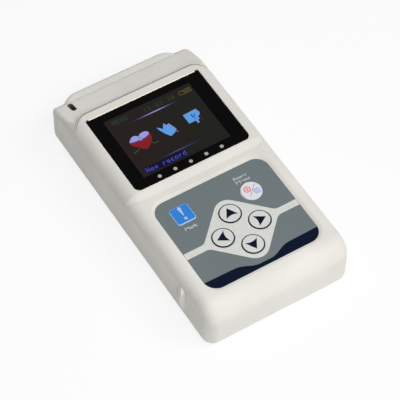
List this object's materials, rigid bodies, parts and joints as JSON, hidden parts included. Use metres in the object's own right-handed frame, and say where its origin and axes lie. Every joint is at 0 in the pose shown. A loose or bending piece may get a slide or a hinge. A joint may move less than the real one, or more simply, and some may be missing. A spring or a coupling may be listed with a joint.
{
  "type": "handheld ecg monitor",
  "caption": "Handheld heart monitor: moulded case with a colour screen, round arrow keys, power and mark keys, a side slider, a sliding battery door and a wide lead socket.",
  "frame": {"origin": "middle of the flat back, on the face the monitor lies on", "axes": "+Z out of the screen, +Y towards the lead socket, +X to the right seen from the front"},
  "size_m": [0.0587, 0.1101, 0.0219],
  "materials": {
    "housing": "fine satin mould texture",
    "end_block": "fine satin mould texture",
    "window": "polished",
    "dots": "satin",
    "gasket": "matte",
    "display_metal": "satin",
    "display_glass": "clear",
    "foam": "matte foam",
    "flat_cable": "smooth film",
    "cable_socket": "moulded",
    "overlay": "printed film",
    "board": "solder-masked",
    "screws": "zinc plated",
    "switches": "moulded",
    "shield": "tin plated",
    "chips": "moulded",
    "buzzer": "moulded",
    "coin_cell": "bright",
    "socket": "moulded",
    "pins": "plated",
    "cells": "printed sleeve",
    "contacts": "nickel plated",
    "arrow_keys": "satin",
    "power_key": "satin",
    "mark_key": "satin"
  },
  "bodies": {
    "case": {"front_cover": "housing", "back_cover": "housing", "connector_block": "end_block", "screen_window": "window", "indicator_dots": "dots", "window_gasket": "gasket", "display_frame": "display_metal", "display_glass": "display_glass", "display_pad": "foam", "display_ribbon": "flat_cable", "ribbon_socket": "cable_socket", "keypad_overlay": "overlay", "main_board": "board", "board_screws": "screws", "key_switches": "switches", "lock_switch": "switches", "shield_can": "shield", "main_chips": "chips", "buzzer": "buzzer", "backup_cell": "coin_cell", "lead_socket": "socket", "lead_pins": "pins", "battery_cell_a": "cells", "battery_cell_b": "cells", "battery_bridge": "contacts", "battery_contact_pos": "contacts", "battery_contact_neg": "contacts", "housing_screws": "screws"},
    "key_up": {"key_up": "arrow_keys"},
    "key_right": {"key_right": "arrow_keys"},
    "key_down": {"key_down": "arrow_keys"},
    "key_left": {"key_left": "arrow_keys"},
    "key_power": {"key_power": "power_key"},
    "key_mark": {"key_mark": "mark_key"},
    "battery_door": {"battery_door": "housing"},
    "lock_slider": {"lock_slider": "housing"}
  },
  "joints": [
    {"name": "key_up_press", "type": "slide", "parent": "case", "child": "key_up", "axis": [0, 0, -1], "range_m": [0, 0.0004], "stiffness_N_per_m": 800},
    {"name": "key_right_press", "type": "slide", "parent": "case", "child": "key_right", "axis": [0, 0, -1], "range_m": [0, 0.0004], "stiffness_N_per_m": 800},
    {"name": "key_down_press", "type": "slide", "parent": "case", "child": "key_down", "axis": [0, 0, -1], "range_m": [0, 0.0004], "stiffness_N_per_m": 800},
    {"name": "key_left_press", "type": "slide", "parent": "case", "child": "key_left", "axis": [0, 0, -1], "range_m": [0, 0.0004], "stiffness_N_per_m": 800},
    {"name": "key_power_press", "type": "slide", "parent": "case", "child": "key_power", "axis": [0, 0, -1], "range_m": [0, 0.0004], "stiffness_N_per_m": 800},
    {"name": "key_mark_press", "type": "slide", "parent": "case", "child": "key_mark", "axis": [0, 0, -1], "range_m": [0, 0.0004], "stiffness_N_per_m": 800},
    {"name": "battery_door_slide", "type": "slide", "parent": "case", "child": "battery_door", "axis": [0, -1, 0], "range_m": [0, 0.056]},
    {"name": "lock_slide", "type": "slide", "parent": "case", "child": "lock_slider", "axis": [0, 1, 0], "range_m": [0, 0.002]}
  ]
}
